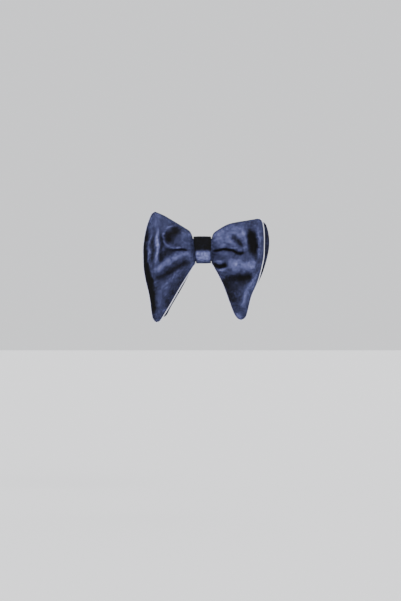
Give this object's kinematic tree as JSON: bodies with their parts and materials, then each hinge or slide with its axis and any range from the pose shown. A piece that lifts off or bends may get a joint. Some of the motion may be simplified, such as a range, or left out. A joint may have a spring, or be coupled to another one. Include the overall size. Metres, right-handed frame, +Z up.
{
  "type": "bow tie",
  "caption": "Pre-tied butterfly bow tie in navy velvet: gathered front and rear bows under a square knot, on an adjustable neckband with a slider and a hook-and-eye clasp.",
  "frame": {"origin": "centre of the knot's flat back face, where the bow rests on the collar", "axes": "+Z up, front of the bow faces -Y, +X to the right as the bow is looked at from the front; the neckband's loop is horizontal, behind the bow"},
  "size_m": [0.1318, 0.1379, 0.1162],
  "materials": {
    "velvet": "cotton velvet, short upright pile",
    "backing": "plain satin",
    "interlining": "brushed cotton interlining",
    "piping": "twisted cotton cord",
    "ribbon": "ribbed grosgrain ribbon",
    "thread": "polyester sewing thread",
    "nickel": "nickel-plated pressed steel",
    "label": "white satin, blank"
  },
  "bodies": {
    "root": {"front_bow_face": "velvet", "front_bow_interlining": "interlining", "front_bow_back": "backing", "front_piping_left": "piping", "front_piping_right": "piping", "rear_bow_face": "velvet", "rear_bow_interlining": "interlining", "rear_bow_back": "backing", "gather_binding": "thread", "knot_wrap": "velvet", "knot_pad": "interlining", "knot_seam_stitches": "thread", "band_centre": "ribbon"},
    "band_left": {"band_left": "ribbon", "bar_tack_left": "thread", "care_label": "label"},
    "eye": {"eye_plate": "nickel"},
    "band_right": {"band_right": "ribbon", "band_return": "ribbon", "bar_tack_right": "thread"},
    "slider": {"slider_frame": "nickel", "bar_tack_slider": "thread"},
    "hook": {"hook_plate": "nickel"}
  },
  "joints": [
    {"name": "left_half_flex", "type": "hinge", "parent": "root", "child": "band_left", "pos_m": [-0.02746, 0.00429, 0], "axis": [0, 0, 1], "range_deg": [0, 40]},
    {"name": "right_half_flex", "type": "hinge", "parent": "root", "child": "band_right", "pos_m": [0.02746, 0.00429, 0], "axis": [0, 0, -1], "range_deg": [0, 40]},
    {"name": "eye_turn", "type": "hinge", "parent": "band_left", "child": "eye", "pos_m": [-0.01541, 0.1149, 0], "axis": [0, 0, 1], "range_deg": [-45, 45]},
    {"name": "hook_turn", "type": "hinge", "parent": "band_right", "child": "hook", "pos_m": [0.01947, 0.11364, 0], "axis": [0, 0, 1], "range_deg": [-45, 45]},
    {"name": "slider_travel", "type": "hinge", "parent": "band_right", "child": "slider", "pos_m": [0, 0.05818, 0], "axis": [0, 0, -1], "range_deg": [-10, 60], "deforming": ["band_return"]}
  ]
}
